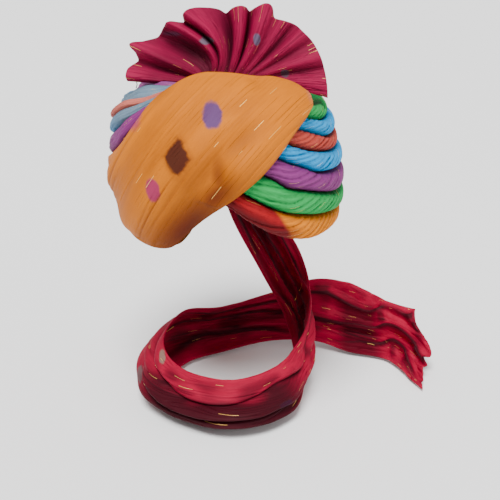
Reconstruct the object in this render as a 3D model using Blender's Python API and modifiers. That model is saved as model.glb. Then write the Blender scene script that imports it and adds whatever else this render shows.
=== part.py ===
# Tied turban: seven twisted cloth rolls wound over a close inner wrap, a broad front sash,
# a pleated fan behind its crest, and a tail of cloth that hangs from the back and winds into a loop.
# Metres, +Z up. The front faces -Y, and +X is the right-hand side of a front view.
# The origin is on the axis of the head opening, level with the lowest edge of the rolls.
import bisect
import math

import bmesh
import bpy
from mathutils import Vector

COLLECTION_NAME = "tied_turban"

# The head opening, with straight sides up to the brow and a round crown above it
HEAD_WIDTH = 0.158
HEAD_DEPTH = 0.198
BROW_HEIGHT = 0.025
CROWN_HEIGHT = 0.122
CROWN_FULLNESS = 2.8
CROWN_MARGIN = 0.0001
HEIGHT_TRIES = 30

# Cloth thicknesses, each measured along the head form's normal
WRAP_WALL = 0.003
ROLL_THICKNESS = 0.0182
SASH_THICKNESS = 0.009
SASH_WALL = 0.003
FAN_WALL = 0.0016
TAIL_WALL = 0.002
MERGE_DISTANCE = 0.00001
CLOTH_ROUGHNESS = 0.75

# Clearances between a piece and what carries it, and between neighbouring rolls
SEAT_GAP = 0.0008
SASH_GAP = 0.001
SPLIT_GAP = 0.0004

# The inner wrap: rings of faces from its rim to the crown, closer together towards the crown
WRAP_RINGS = 14
WRAP_RING_SPREAD = 0.85
POLE_MARGIN = 0.001

# The twisted rolls
ROLL_COUNT = 7
ROLL_STEP = 10
ROLL_START = -100
ROLL_END = 250
# Flat steps across the inner side of each roll, more where it spreads over the round of the crown
ROLL_BACK_STEPS = (2, 6, 3, 2, 2, 2, 2)
TWIST_DEPTH = 0.0011
TWIST_ANGLE = 36
TWIST_STAGGER = 0.37
ROLL_OFFSET = WRAP_WALL + SEAT_GAP + ROLL_THICKNESS
RIM_TUCK = 0.002

# The pleats of the sash
SASH_PLEAT_DEPTH = 0.0016
SASH_PLEATS = 4
SASH_FACE_STEPS = 14
SASH_BACK_STEPS = 7
SASH_STEPS_PER_ROW = 2
SASH_FULLNESS = 2.5

# The fan and its pleats, which are shallower towards both ends
FAN_RADIUS = 0.080
FAN_BASE_WIDTH = 0.052
FAN_SETBACK = 0.026
FAN_SHIFT = 0.003
FAN_SINK = 0.009
FAN_LEAN = 8
FAN_PLEATS = 9
FAN_ROOT_DEPTH = 0.001
FAN_PLEAT_DEPTH = 0.0085
FAN_END_SHARE = 0.15
FAN_END_RISE = 1.6
FAN_ARCH = 0.10
FAN_STEPS_AROUND = 63
FAN_STEPS_OUT = 6

# The folds that run along the tail, and how its cloth sags between its two edges
TAIL_FOLD_DEPTH = 0.0046
TAIL_FOLDS = 3
TAIL_FOLD_DRIFT = 0.25
TAIL_SAG = 1.6
TAIL_SAG_FULLNESS = 0.6
TAIL_STEPS_PER_ROW = 2
TAIL_STEPS_ACROSS = 13
TAIL_LOOK_AHEAD = 0.1

# The loop and the free end of the tail
LOOP_HALF_WIDTH = 0.090
LOOP_HALF_DEPTH = 0.097
LOOP_SETBACK = 0.010
TAIL_ROOT_WIDTH = 0.026
TAIL_DROP = 0.181
TAIL_REACH = 0.195

# Edges of the rolls: a row for each section round the head (0 right, 90 back, 180 left, -90 front),
# then the height of each edge from the lowest to the highest, as a share of CROWN_HEIGHT
ROLL_EDGES = (
    # angle, edge 0, edge 1, edge 2, edge 3, edge 4, edge 5, edge 6, edge 7
    (-100, 0.390, 0.520, 0.620, 0.710, 0.780, 0.840, 0.880, 0.920),
    (-90, 0.330, 0.470, 0.590, 0.690, 0.760, 0.820, 0.870, 0.918),
    (-80, 0.230, 0.390, 0.540, 0.660, 0.740, 0.800, 0.850, 0.910),
    (-70, 0.140, 0.310, 0.490, 0.620, 0.705, 0.780, 0.830, 0.900),
    (-60, 0.075, 0.250, 0.410, 0.560, 0.660, 0.745, 0.800, 0.890),
    (-50, 0.033, 0.210, 0.370, 0.510, 0.615, 0.720, 0.780, 0.870),
    (-40, 0.010, 0.175, 0.330, 0.455, 0.580, 0.685, 0.755, 0.835),
    (-20, 0.004, 0.130, 0.260, 0.410, 0.530, 0.615, 0.710, 0.790),
    (0, 0.000, 0.130, 0.260, 0.400, 0.525, 0.620, 0.710, 0.785),
    (90, 0.000, 0.145, 0.285, 0.425, 0.550, 0.650, 0.740, 0.830),
    (120, 0.000, 0.150, 0.295, 0.430, 0.550, 0.650, 0.745, 0.840),
    (150, 0.015, 0.170, 0.335, 0.470, 0.580, 0.670, 0.755, 0.845),
    (180, 0.040, 0.240, 0.430, 0.555, 0.635, 0.692, 0.785, 0.860),
    (190, 0.040, 0.260, 0.475, 0.595, 0.665, 0.708, 0.805, 0.878),
    (205, 0.040, 0.295, 0.555, 0.675, 0.738, 0.777, 0.866, 0.912),
    (215, 0.045, 0.340, 0.645, 0.740, 0.793, 0.832, 0.903, 0.938),
    (225, 0.050, 0.390, 0.800, 0.848, 0.880, 0.910, 0.937, 0.960),
    (235, 0.055, 0.440, 0.893, 0.912, 0.926, 0.940, 0.952, 0.964),
    (240, 0.080, 0.460, 0.883, 0.902, 0.917, 0.931, 0.944, 0.956),
    (250, 0.170, 0.490, 0.832, 0.850, 0.867, 0.884, 0.899, 0.912),
)

# Thickness of each roll round the head as a share of ROLL_THICKNESS, and how thick the rolls
# still are at their edges: they lie round on the right and flat on the left
ROLL_BULK = (
    # angle, roll 1, roll 2, roll 3, roll 4, roll 5, roll 6, roll 7, edge share
    (-100, 1.00, 1.00, 1.00, 1.00, 1.00, 1.00, 0.90, 0.60),
    (110, 1.00, 1.00, 1.00, 1.00, 1.00, 1.00, 0.95, 0.60),
    (150, 0.65, 0.85, 1.15, 1.20, 1.22, 1.22, 1.05, 0.68),
    (180, 0.40, 0.62, 1.27, 1.33, 1.46, 1.48, 1.20, 0.85),
    (205, 0.38, 0.60, 1.27, 1.48, 1.52, 1.38, 1.10, 0.88),
    (215, 0.38, 0.60, 1.36, 1.22, 1.05, 0.90, 0.67, 0.85),
    (225, 0.38, 0.58, 0.90, 0.73, 0.62, 0.54, 0.46, 0.82),
    (235, 0.36, 0.55, 0.60, 0.54, 0.50, 0.46, 0.43, 0.80),
    (250, 0.32, 0.52, 0.50, 0.46, 0.44, 0.42, 0.40, 0.75),
)

# Section of a roll: place across it as a share of its width, and rise above its edges as a share
# of what its thickness leaves there
ROLL_SECTION = (
    # across, rise
    (0.00, 0.000),
    (0.13, 0.600),
    (0.32, 0.925),
    (0.50, 1.000),
    (0.68, 0.925),
    (0.87, 0.600),
    (1.00, 0.000),
)

# The sash from its right end across the front to its end tucked in at the left of the back.
# Heights are shares of CROWN_HEIGHT and offsets are shares of ROLL_OFFSET + SASH_THICKNESS.
SASH_SECTIONS = (
    # station, low angle, low height, high angle, high height, low offset, mid offset, high offset
    (0, -41.0, 0.775, -37.5, 0.840, 0.84, 0.88, 0.84),
    (1, -46.0, 0.750, -44.0, 0.880, 0.84, 0.92, 0.85),
    (2, -57.0, 0.690, -57.0, 0.905, 0.84, 0.97, 0.88),
    (3, -66.0, 0.607, -70.0, 0.910, 0.84, 1.00, 0.90),
    (4, -75.0, 0.510, -84.0, 0.922, 0.84, 1.00, 0.90),
    (5, -83.5, 0.425, -97.0, 0.926, 0.84, 1.00, 0.90),
    (6, -90.0, 0.360, -108.0, 0.922, 0.80, 1.00, 0.90),
    (7, -97.5, 0.283, -118.0, 0.900, 0.62, 1.00, 0.90),
    (8, -104.0, 0.213, -127.0, 0.852, 0.47, 1.00, 0.90),
    (9, -111.0, 0.105, -133.0, 0.795, 0.45, 0.97, 0.90),
    (10, -118.0, 0.020, -138.0, 0.713, 0.45, 0.93, 0.90),
    (11, -128.0, -0.015, -146.0, 0.598, 0.45, 0.86, 0.89),
    (12, -140.0, -0.020, -156.0, 0.516, 0.45, 0.80, 0.88),
    (13, -155.0, -0.020, -167.0, 0.460, 0.42, 0.77, 0.87),
    (14, -170.0, -0.015, -178.0, 0.410, 0.40, 0.76, 0.87),
    (15, -185.0, -0.005, -190.0, 0.353, 0.40, 0.76, 0.86),
    (16, -200.0, 0.010, -203.0, 0.287, 0.45, 0.78, 0.84),
    (17, -214.0, 0.030, -216.0, 0.220, 0.50, 0.78, 0.80),
    (18, -226.0, 0.060, -228.0, 0.155, 0.60, 0.75, 0.75),
)

# Outline of the fan: angle above the right-hand side, and distance as a share of FAN_RADIUS
FAN_OUTLINE = (
    # angle, distance
    (-5, 1.02),
    (14, 0.975),
    (30, 0.94),
    (44, 0.89),
    (57, 0.82),
    (66, 0.92),
    (75, 0.77),
    (83, 0.83),
    (94, 0.72),
    (105, 0.81),
    (119, 0.885),
    (128, 0.81),
    (137, 0.93),
    (150, 0.91),
    (158, 1.11),
    (166, 1.01),
    (175, 1.09),
)

# The tail where it hangs from the back and winds round in a loop. Angles go round the loop as they
# do round the rolls, reaches are shares of the loop's half sizes, heights are shares of TAIL_DROP,
# and the bow is how far the cloth bellies outward, as a share of LOOP_HALF_WIDTH.
LOOP_SECTIONS = (
    # top angle, top reach, top height, low angle, low reach, low height, bow
    (66, 1.080, -0.180, 89, 1.050, -0.250, 0.03),
    (48, 1.080, -0.350, 71, 0.980, -0.520, 0.06),
    (30, 1.020, -0.510, 47, 0.880, -0.720, 0.12),
    (8, 0.900, -0.620, 20, 0.780, -0.880, 0.20),
    (-20, 0.790, -0.690, -12, 0.720, -0.940, 0.27),
    (-52, 0.730, -0.740, -48, 0.700, -0.975, 0.32),
    (-90, 0.700, -0.760, -90, 0.690, -0.985, 0.34),
    (-135, 0.700, -0.750, -135, 0.690, -0.985, 0.34),
    (-180, 0.700, -0.730, -180, 0.690, -0.985, 0.33),
    (-225, 0.720, -0.720, -225, 0.710, -0.985, 0.32),
    (-262, 0.780, -0.710, -262, 0.770, -0.985, 0.30),
)

# The free end of the tail: shares of TAIL_REACH, of LOOP_HALF_DEPTH and of TAIL_DROP
FREE_SECTIONS = (
    # top x, top y, top height, low x, low y, low height, bow
    (0.23, 1.16, -0.680, 0.20, 1.06, -0.965, 0.24),
    (0.44, 1.24, -0.620, 0.44, 1.02, -0.955, 0.14),
    (0.62, 1.24, -0.640, 0.62, 0.86, -0.985, 0.07),
    (0.74, 1.18, -0.690, 0.78, 0.74, -0.990, 0.04),
    (0.84, 1.09, -0.730, 0.85, 0.56, -0.990, 0.02),
    (0.94, 1.00, -0.745, 0.90, 0.26, -0.992, 0.02),
    (0.97, 0.98, -0.750, 0.94, 0.06, -0.995, 0.02),
)

RED = (0.62, 0.03, 0.04)
GREEN = (0.05, 0.42, 0.04)
PURPLE = (0.24, 0.03, 0.30)
BLUE = (0.01, 0.32, 0.62)
CORAL = (0.72, 0.10, 0.05)
SAFFRON = (0.86, 0.36, 0.01)
MAGENTA = (0.46, 0.01, 0.07)
ROLL_COLOURS = (RED, GREEN, PURPLE, BLUE, CORAL, BLUE, GREEN)


def read_table(rows, at):
    """Return the columns of a table at a place between its rows, along a smooth curve."""
    keys = [row[0] for row in rows]
    at = min(max(at, keys[0]), keys[-1])
    i = min(max(bisect.bisect_right(keys, at) - 1, 0), len(rows) - 2)
    span = keys[i + 1] - keys[i]
    t = (at - keys[i]) / span
    before = max(i - 1, 0)
    after = min(i + 2, len(rows) - 1)
    values = []
    for c in range(1, len(rows[0])):
        a = rows[i][c]
        b = rows[i + 1][c]
        slope_a = (b - rows[before][c]) / (keys[i + 1] - keys[before]) * span
        slope_b = (rows[after][c] - a) / (keys[after] - keys[i]) * span
        values.append(
            a * (2 * t**3 - 3 * t**2 + 1)
            + slope_a * (t**3 - 2 * t**2 + t)
            + b * (3 * t**2 - 2 * t**3)
            + slope_b * (t**3 - t**2)
        )
    return values


def head_point(angle, height, offset):
    """Return the point a given distance out from the head form, along its normal."""
    a = math.radians(angle)
    rise = min(max((height - BROW_HEIGHT) / (CROWN_HEIGHT - BROW_HEIGHT), 0.0), 1 - CROWN_MARGIN)
    left = 1 - rise**CROWN_FULLNESS
    reach = left ** (1 / CROWN_FULLNESS)
    slope = left ** (1 / CROWN_FULLNESS - 1) * rise ** (CROWN_FULLNESS - 1)
    slope /= CROWN_HEIGHT - BROW_HEIGHT
    half_width = HEAD_WIDTH / 2
    half_depth = HEAD_DEPTH / 2
    base = Vector((half_width * reach * math.cos(a), half_depth * reach * math.sin(a), height))
    normal = Vector((half_depth * math.cos(a), half_width * math.sin(a), half_width * half_depth * slope))
    return base + normal.normalized() * offset


def crown_height_at(x, y, offset):
    """Return the height of the surface at a distance out from the crown, above a place on it."""
    low = BROW_HEIGHT
    high = CROWN_HEIGHT
    angle = math.degrees(math.atan2(y / HEAD_DEPTH, x / HEAD_WIDTH))
    for _ in range(HEIGHT_TRIES):
        middle = (low + high) / 2
        point = head_point(angle, middle, offset)
        if math.hypot(point.x / HEAD_WIDTH, point.y / HEAD_DEPTH) > math.hypot(x / HEAD_WIDTH, y / HEAD_DEPTH):
            low = middle
        else:
            high = middle
    return point.z


def material_of(name, colour):
    """Return a plain cloth material of one colour."""
    material = bpy.data.materials.new(name)
    material.use_nodes = True
    shader = material.node_tree.nodes["Principled BSDF"]
    shader.inputs["Base Color"].default_value = (*colour, 1.0)
    shader.inputs["Roughness"].default_value = CLOTH_ROUGHNESS
    return material


def add_piece(name, bm, colour):
    """Turn a bmesh into a named object of the turban with its own material."""
    mesh = bpy.data.meshes.new(name)
    bm.to_mesh(mesh)
    bm.free()
    for face in mesh.polygons:
        face.use_smooth = True
    mesh.materials.append(material_of(name + "_cloth", colour))
    piece = bpy.data.objects.new(name, mesh)
    bpy.data.collections[COLLECTION_NAME].objects.link(piece)
    return piece


def mapped_grid(lengthwise, crosswise, place):
    """Return a grid whose vertices are moved to place(i, j)."""
    bm = bmesh.new()
    bmesh.ops.create_grid(bm, x_segments=lengthwise, y_segments=crosswise, size=0.5)
    for vert in bm.verts:
        i = round((vert.co.x + 0.5) * lengthwise)
        j = round((vert.co.y + 0.5) * crosswise)
        vert.co = place(i, j)
    return bm


def closed_loft(sections):
    """Return a closed body through sections that each hold the same number of points."""
    count = len(sections[0])
    bm = mapped_grid(len(sections) - 1, count, lambda i, j: sections[i][j % count])
    bmesh.ops.remove_doubles(bm, verts=bm.verts, dist=MERGE_DISTANCE)
    rims = [edge for edge in bm.edges if edge.is_boundary]
    bmesh.ops.holes_fill(bm, edges=rims, sides=0)
    bmesh.ops.recalc_face_normals(bm, faces=bm.faces)
    bmesh.ops.triangulate(bm, faces=[face for face in bm.faces if len(face.verts) > 4])
    return bm


def roll_edge(edge, angle):
    return read_table(ROLL_EDGES, angle)[edge] * CROWN_HEIGHT


def roll_thickness(roll, angle):
    return read_table(ROLL_BULK, angle)[roll] * ROLL_THICKNESS


def rim_height(angle):
    """Return the height of the inner wrap's lower edge, just inside the sash and the lowest roll."""
    turn = angle if angle >= ROLL_START else angle + 360
    if turn <= ROLL_END:
        return roll_edge(0, turn) + RIM_TUCK
    share = (turn - ROLL_END) / (ROLL_START + 360 - ROLL_END)
    return (1 - share) * roll_edge(0, ROLL_END) + share * roll_edge(0, ROLL_START) + RIM_TUCK


def make_under_wrap():
    """A close cap of cloth over the head, from half a sphere shaped to the head form."""
    bm = bmesh.new()
    bmesh.ops.create_uvsphere(bm, u_segments=360 // ROLL_STEP, v_segments=WRAP_RINGS, radius=1)
    lower_half = [vert for vert in bm.verts if vert.co.z < -POLE_MARGIN]
    bmesh.ops.delete(bm, geom=lower_half, context="VERTS")
    for vert in bm.verts:
        level = min(max(vert.co.z, 0.0), 1.0)
        angle = math.degrees(math.atan2(vert.co.y, vert.co.x))
        rim = rim_height(round(angle / ROLL_STEP) * ROLL_STEP)
        height = rim + (CROWN_HEIGHT - rim) * level**WRAP_RING_SPREAD
        vert.co = head_point(angle, height, WRAP_WALL)
        if level > 1 - POLE_MARGIN:
            vert.co = Vector((0, 0, CROWN_HEIGHT + WRAP_WALL))
    wrap = add_piece("under_wrap", bm, CORAL)
    wall = wrap.modifiers.new("wall", "SOLIDIFY")
    wall.thickness = WRAP_WALL
    wall.offset = -1
    return wrap


def roll_section(roll, angle):
    """Points round one section of a roll: up its outer side, then back down on the inner wrap."""
    split = SPLIT_GAP / 2
    low = roll_edge(roll, angle) + split
    high = roll_edge(roll + 1, angle) - split
    thickness = roll_thickness(roll, angle)
    edge_share = read_table(ROLL_BULK, angle)[ROLL_COUNT]
    seat = WRAP_WALL + SEAT_GAP
    points = [head_point(angle, low, seat)]
    for across, rise in ROLL_SECTION:
        height = edge_share + (1 - edge_share) * rise
        turn = 2 * math.pi * (across - angle / TWIST_ANGLE + TWIST_STAGGER * roll)
        edge_fade = math.sin(math.pi * across)
        twist = TWIST_DEPTH * edge_fade * math.cos(turn)
        points.append(head_point(angle, low + (high - low) * across, seat + height * thickness + twist))
    back_steps = ROLL_BACK_STEPS[roll]
    for step in range(back_steps, 0, -1):
        points.append(head_point(angle, low + (high - low) * step / back_steps, seat))
    return points


def make_roll(roll):
    """One twisted roll, from under the right end of the sash round the back to the sash's crest."""
    angles = range(ROLL_START, ROLL_END + 1, ROLL_STEP)
    sections = [roll_section(roll, angle) for angle in angles]
    return add_piece(f"roll_{roll + 1}", closed_loft(sections), ROLL_COLOURS[roll])


def bed_offset(angle, height):
    """Return how far out the rolls reach under a place on the sash, or the inner wrap if none does."""
    turn = angle if angle >= ROLL_START else angle + 360
    turns = (turn,) if turn <= ROLL_END else (ROLL_START, ROLL_END)
    reach = WRAP_WALL
    for turn in turns:
        for roll in range(ROLL_COUNT):
            margin = ROLL_THICKNESS / 2 if roll == 0 else SASH_WALL
            low = roll_edge(roll, turn) - margin
            high = roll_edge(roll + 1, turn) + ROLL_THICKNESS / 2
            if low < height < high:
                reach = max(reach, WRAP_WALL + SEAT_GAP + roll_thickness(roll, turn) + TWIST_DEPTH)
    return reach


def sash_section(station):
    """Points round one section of the sash: up its pleated face, then down its back."""
    columns = read_table(SASH_SECTIONS, station)
    low_angle, low_height, high_angle, high_height, low_share, mid_share, high_share = columns
    full_offset = ROLL_OFFSET + SASH_THICKNESS

    def place(across):
        angle = low_angle + (high_angle - low_angle) * across
        height = (low_height + (high_height - low_height) * across) * CROWN_HEIGHT
        back = bed_offset(angle, height) + SASH_GAP
        belly = 1 - abs(2 * across - 1) ** SASH_FULLNESS
        share = low_share + (high_share - low_share) * across
        share += (mid_share - (low_share + high_share) / 2) * belly
        pleat = 0.5 - 0.5 * math.cos(2 * math.pi * SASH_PLEATS * across)
        face = share * full_offset - SASH_PLEAT_DEPTH * pleat * belly
        return angle, height, back, max(face, back + SASH_WALL)

    points = []
    for step in range(SASH_FACE_STEPS + 1):
        angle, height, back, face = place(step / SASH_FACE_STEPS)
        points.append(head_point(angle, height, face))
    for step in range(SASH_BACK_STEPS, -1, -1):
        angle, height, back, face = place(step / SASH_BACK_STEPS)
        points.append(head_point(angle, height, back))
    return points


def make_sash():
    """The broad pleated band across the front, laid over the ends of the rolls."""
    last = SASH_SECTIONS[-1][0]
    stations = [step / SASH_STEPS_PER_ROW for step in range(SASH_STEPS_PER_ROW * last + 1)]
    return add_piece("front_sash", closed_loft([sash_section(s) for s in stations]), SAFFRON)


def make_fan():
    """The stiff pleated end of the cloth, spread like a fan behind the crest of the sash."""
    lean = math.radians(FAN_LEAN)
    first = FAN_OUTLINE[0][0]
    last = FAN_OUTLINE[-1][0]
    seat = WRAP_WALL + SEAT_GAP

    def place(i, j):
        along = i / FAN_STEPS_AROUND
        out = j / FAN_STEPS_OUT
        angle = first + (last - first) * along
        spread = math.radians(angle)
        side = 1 - 2 * along
        base_x = FAN_BASE_WIDTH / 2 * side
        radius = read_table(FAN_OUTLINE, angle)[0] * FAN_RADIUS
        fold = math.cos(2 * math.pi * FAN_PLEATS * along)
        end_fade = min(1.0, FAN_END_SHARE + FAN_END_RISE * math.sin(math.pi * along))
        root_depth = FAN_ROOT_DEPTH * end_fade
        depth = root_depth + (FAN_PLEAT_DEPTH * end_fade - root_depth) * out
        base_y = root_depth * fold - FAN_SETBACK
        base_z = crown_height_at(base_x, base_y, seat)
        centre_z = crown_height_at(0, -FAN_SETBACK, seat) - FAN_SINK
        tip_x = FAN_SHIFT + radius * math.cos(spread)
        tip_z = centre_z + radius * math.sin(spread) * math.cos(lean)
        tip_y = radius * math.sin(spread) * math.sin(lean) - FAN_SETBACK
        arch = FAN_ARCH * FAN_RADIUS * math.sin(math.pi * out) * abs(side)
        x = base_x + (tip_x - base_x) * out
        y = base_y + (tip_y + depth * fold - base_y) * out
        z = base_z + (tip_z - base_z) * out + arch
        return Vector((x, y, z))

    fan = add_piece("crown_fan", mapped_grid(FAN_STEPS_AROUND, FAN_STEPS_OUT, place), MAGENTA)
    wall = fan.modifiers.new("wall", "SOLIDIFY")
    wall.thickness = FAN_WALL
    wall.offset = 0
    return fan


def tail_edges():
    """Return the top edge point, the low edge point and the bow of every section of the tail."""
    root_back = head_point(90, 0, WRAP_WALL + SEAT_GAP + ROLL_THICKNESS / 2).y
    root_height = roll_edge(0, 90) - SEAT_GAP
    root_top = (TAIL_ROOT_WIDTH / 2, root_back, root_height)
    root_low = (-TAIL_ROOT_WIDTH / 2, root_back, root_height)
    sections = [(0, *root_top, *root_low, 0.0)]
    for top_angle, top_reach, top_height, low_angle, low_reach, low_height, bow in LOOP_SECTIONS:
        ends = []
        for angle, reach, height in ((top_angle, top_reach, top_height), (low_angle, low_reach, low_height)):
            a = math.radians(angle)
            x = LOOP_HALF_WIDTH * reach * math.cos(a)
            y = LOOP_SETBACK + LOOP_HALF_DEPTH * reach * math.sin(a)
            ends += [x, y, height * TAIL_DROP]
        sections.append((len(sections), *ends, bow * LOOP_HALF_WIDTH))
    for top_x, top_y, top_height, low_x, low_y, low_height, bow in FREE_SECTIONS:
        top = (top_x * TAIL_REACH, top_y * LOOP_HALF_DEPTH, top_height * TAIL_DROP)
        low = (low_x * TAIL_REACH, low_y * LOOP_HALF_DEPTH, low_height * TAIL_DROP)
        sections.append((len(sections), *top, *low, bow * LOOP_HALF_WIDTH))
    return sections


def make_tail():
    """The loose cloth that hangs from the back, winds once round and flares at its free end."""
    edges = tail_edges()
    last = len(edges) - 1

    def place(i, j):
        at = i / TAIL_STEPS_PER_ROW
        values = read_table(edges, at)
        ahead = read_table(edges, min(at + TAIL_LOOK_AHEAD, last))
        behind = read_table(edges, max(at - TAIL_LOOK_AHEAD, 0))
        top = Vector(values[0:3])
        low = Vector(values[3:6])
        run = Vector(ahead[0:3]) + Vector(ahead[3:6]) - Vector(behind[0:3]) - Vector(behind[3:6])
        out = run.cross(low - top).normalized()
        across = j / TAIL_STEPS_ACROSS
        belly = math.sin(math.pi * across**TAIL_SAG) ** TAIL_SAG_FULLNESS
        ridge = math.sin(2 * math.pi * TAIL_FOLDS * across + TAIL_FOLD_DRIFT * at)
        fade = math.sin(math.pi * across)
        return top + (low - top) * across + out * (values[6] * belly + TAIL_FOLD_DEPTH * ridge * fade)

    tail = add_piece("tail_cloth", mapped_grid(last * TAIL_STEPS_PER_ROW, TAIL_STEPS_ACROSS, place), MAGENTA)
    wall = tail.modifiers.new("wall", "SOLIDIFY")
    wall.thickness = TAIL_WALL
    wall.offset = 0
    return tail


def build():
    for old in list(bpy.data.objects):
        bpy.data.objects.remove(old)
    bpy.context.scene.collection.children.link(bpy.data.collections.new(COLLECTION_NAME))
    make_under_wrap()
    for roll in range(ROLL_COUNT):
        make_roll(roll)
    make_sash()
    make_fan()
    make_tail()


build()
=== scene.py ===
import functools
import math

import bmesh
import bpy
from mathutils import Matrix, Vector, noise


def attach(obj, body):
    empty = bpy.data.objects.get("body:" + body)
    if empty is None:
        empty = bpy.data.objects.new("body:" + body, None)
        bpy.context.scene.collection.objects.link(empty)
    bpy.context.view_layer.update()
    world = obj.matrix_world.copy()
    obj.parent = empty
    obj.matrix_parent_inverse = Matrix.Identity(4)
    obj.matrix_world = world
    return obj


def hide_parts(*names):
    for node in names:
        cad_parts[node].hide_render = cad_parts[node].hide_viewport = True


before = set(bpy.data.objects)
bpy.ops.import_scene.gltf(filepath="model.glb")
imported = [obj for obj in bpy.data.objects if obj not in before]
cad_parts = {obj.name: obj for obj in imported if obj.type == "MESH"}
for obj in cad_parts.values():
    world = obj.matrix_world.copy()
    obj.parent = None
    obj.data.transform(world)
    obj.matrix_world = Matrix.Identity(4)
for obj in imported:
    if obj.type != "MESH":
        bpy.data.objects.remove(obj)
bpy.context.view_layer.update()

# The rounded form that every layer is wound on, and the clearances between the layers
headForm = {"width": 0.158, "depth": 0.198, "brow": 0.025, "crown": 0.122, "fullness": 2.8}
layers = {
    "wrapWall": 0.003,
    "seatGap": 0.0008,
    "splitGap": 0.0004,
    "sashGap": 0.001,
    "rimTuck": 0.002,
    "merge": 0.00001,
}

# The camera. The sash's creases and swells are laid out as it sees them.
view = {"target": (0.0182, 0.0, -0.0358), "distance": 0.9, "elevation": 20, "lens": 71.3, "sensor": 36}

# Thin creases: how sharp they are and where they break off along their way
creases = {
    "sharpness": 8.0,
    "edge": 1.5,
    "breakAcross": 0.4,
    "breakAlong": 0.8,
    "breakRange": (-0.25, 0.15),
    "breakSeed": 9,
}

# Heights of the edges between the rolls, as shares of the crown height
rollEdges = (
    # angle, edges from the lowest to the highest
    (-100, 0.390, 0.520, 0.620, 0.710, 0.780, 0.840, 0.880, 0.920),
    (-90, 0.330, 0.470, 0.590, 0.690, 0.760, 0.820, 0.870, 0.918),
    (-80, 0.230, 0.390, 0.540, 0.660, 0.740, 0.800, 0.850, 0.910),
    (-70, 0.140, 0.310, 0.490, 0.620, 0.705, 0.780, 0.830, 0.900),
    (-60, 0.075, 0.250, 0.410, 0.560, 0.660, 0.745, 0.800, 0.890),
    (-50, 0.033, 0.210, 0.370, 0.510, 0.615, 0.720, 0.780, 0.870),
    (-40, 0.010, 0.175, 0.330, 0.455, 0.580, 0.685, 0.755, 0.835),
    (-20, 0.004, 0.130, 0.260, 0.410, 0.530, 0.615, 0.710, 0.790),
    (0, 0.000, 0.130, 0.260, 0.400, 0.525, 0.620, 0.710, 0.785),
    (90, 0.000, 0.145, 0.285, 0.425, 0.550, 0.650, 0.740, 0.830),
    (120, 0.000, 0.150, 0.295, 0.430, 0.550, 0.650, 0.745, 0.840),
    (150, 0.015, 0.170, 0.335, 0.470, 0.580, 0.670, 0.755, 0.845),
    (180, 0.040, 0.240, 0.430, 0.555, 0.635, 0.692, 0.785, 0.860),
    (190, 0.040, 0.260, 0.475, 0.595, 0.665, 0.708, 0.805, 0.878),
    (205, 0.040, 0.295, 0.555, 0.675, 0.738, 0.777, 0.866, 0.912),
    (215, 0.045, 0.340, 0.645, 0.740, 0.793, 0.832, 0.903, 0.938),
    (225, 0.050, 0.390, 0.800, 0.848, 0.880, 0.910, 0.937, 0.960),
    (235, 0.055, 0.440, 0.893, 0.912, 0.926, 0.940, 0.952, 0.964),
    (240, 0.080, 0.460, 0.883, 0.902, 0.917, 0.931, 0.944, 0.956),
    (250, 0.170, 0.490, 0.832, 0.850, 0.867, 0.884, 0.899, 0.912),
)

# Thickness of the rolls as shares of the full one, then how flat they lie
rollBulk = (
    # angle, rolls from the lowest to the highest, flatness
    (-100, 1.00, 1.00, 1.00, 1.00, 1.00, 1.00, 0.90, 0.60),
    (110, 1.00, 1.00, 1.00, 1.00, 1.00, 1.00, 0.95, 0.60),
    (150, 0.65, 0.85, 1.15, 1.20, 1.22, 1.22, 1.05, 0.68),
    (180, 0.40, 0.62, 1.27, 1.33, 1.46, 1.48, 1.20, 0.85),
    (205, 0.38, 0.60, 1.27, 1.48, 1.52, 1.38, 1.10, 0.88),
    (215, 0.38, 0.60, 1.36, 1.22, 1.05, 0.90, 0.67, 0.85),
    (225, 0.38, 0.58, 0.90, 0.73, 0.62, 0.54, 0.46, 0.82),
    (235, 0.36, 0.55, 0.60, 0.54, 0.50, 0.46, 0.43, 0.80),
    (250, 0.32, 0.52, 0.50, 0.46, 0.44, 0.42, 0.40, 0.75),
)

sashSections = (
    # station, low angle, low height, high angle, high height, low offset, mid offset, high offset
    (0, -41.0, 0.775, -37.5, 0.840, 0.84, 0.88, 0.84),
    (1, -46.0, 0.750, -44.0, 0.880, 0.84, 0.92, 0.85),
    (2, -57.0, 0.690, -57.0, 0.905, 0.84, 0.97, 0.88),
    (3, -66.0, 0.607, -70.0, 0.910, 0.84, 1.00, 0.90),
    (4, -75.0, 0.510, -84.0, 0.922, 0.84, 1.00, 0.90),
    (5, -83.5, 0.425, -97.0, 0.926, 0.84, 1.00, 0.90),
    (6, -90.0, 0.360, -108.0, 0.922, 0.80, 1.00, 0.90),
    (7, -97.5, 0.283, -118.0, 0.900, 0.62, 1.00, 0.90),
    (8, -104.0, 0.213, -127.0, 0.852, 0.47, 1.00, 0.90),
    (9, -111.0, 0.105, -133.0, 0.795, 0.45, 0.97, 0.90),
    (10, -118.0, 0.020, -138.0, 0.713, 0.45, 0.93, 0.90),
    (11, -128.0, -0.015, -146.0, 0.598, 0.45, 0.86, 0.89),
    (12, -140.0, -0.020, -156.0, 0.516, 0.45, 0.80, 0.88),
    (13, -155.0, -0.020, -167.0, 0.460, 0.42, 0.77, 0.87),
    (14, -170.0, -0.015, -178.0, 0.410, 0.40, 0.76, 0.87),
    (15, -185.0, -0.005, -190.0, 0.353, 0.40, 0.76, 0.86),
    (16, -200.0, 0.010, -203.0, 0.287, 0.45, 0.78, 0.84),
    (17, -214.0, 0.030, -216.0, 0.220, 0.50, 0.78, 0.80),
    (18, -226.0, 0.060, -228.0, 0.155, 0.60, 0.75, 0.75),
)


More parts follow.
